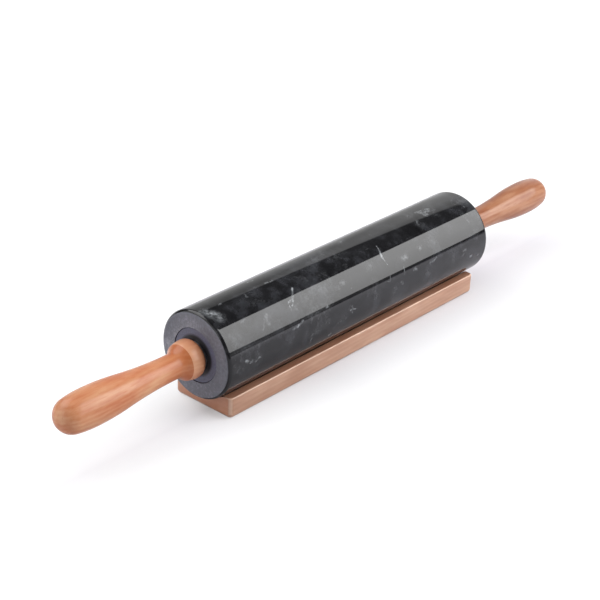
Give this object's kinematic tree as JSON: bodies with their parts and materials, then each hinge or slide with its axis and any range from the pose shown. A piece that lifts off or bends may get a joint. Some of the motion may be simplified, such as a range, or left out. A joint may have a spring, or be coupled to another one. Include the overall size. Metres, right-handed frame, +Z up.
{
  "type": "rolling pin",
  "caption": "Rolling pin with a polished stone barrel turning freely between two turned wooden handles, lying on a grooved wooden cradle.",
  "frame": {"origin": "middle of the cradle's flat base", "axes": "+X along the pin towards its right handle, +Y across the pin, +Z up"},
  "size_m": [0.4652, 0.057, 0.066],
  "materials": {
    "marble": "polished",
    "handle_wood": "satin lacquer",
    "cradle_wood": "satin lacquer",
    "bushing_plastic": "matte",
    "axle_steel": "brushed",
    "insert_brass": "machined"
  },
  "bodies": {
    "cradle_body": {"cradle": "cradle_wood"},
    "handle_set": {"axle_rod": "axle_steel", "left_handle": "handle_wood", "right_handle": "handle_wood", "left_insert": "insert_brass", "right_insert": "insert_brass", "left_thrust_washer": "axle_steel", "right_thrust_washer": "axle_steel"},
    "barrel_body": {"marble_barrel": "marble", "left_bushing": "bushing_plastic", "right_bushing": "bushing_plastic"}
  },
  "joints": [
    {"name": "pin_lift", "type": "slide", "parent": "cradle_body", "child": "handle_set", "axis": [0, 0, 1], "range_m": [0, 0.1]},
    {"name": "barrel_spin", "type": "hinge", "parent": "handle_set", "child": "barrel_body", "pos_m": [0, 0, 0.0375], "axis": [1, 0, 0], "continuous": true}
  ]
}
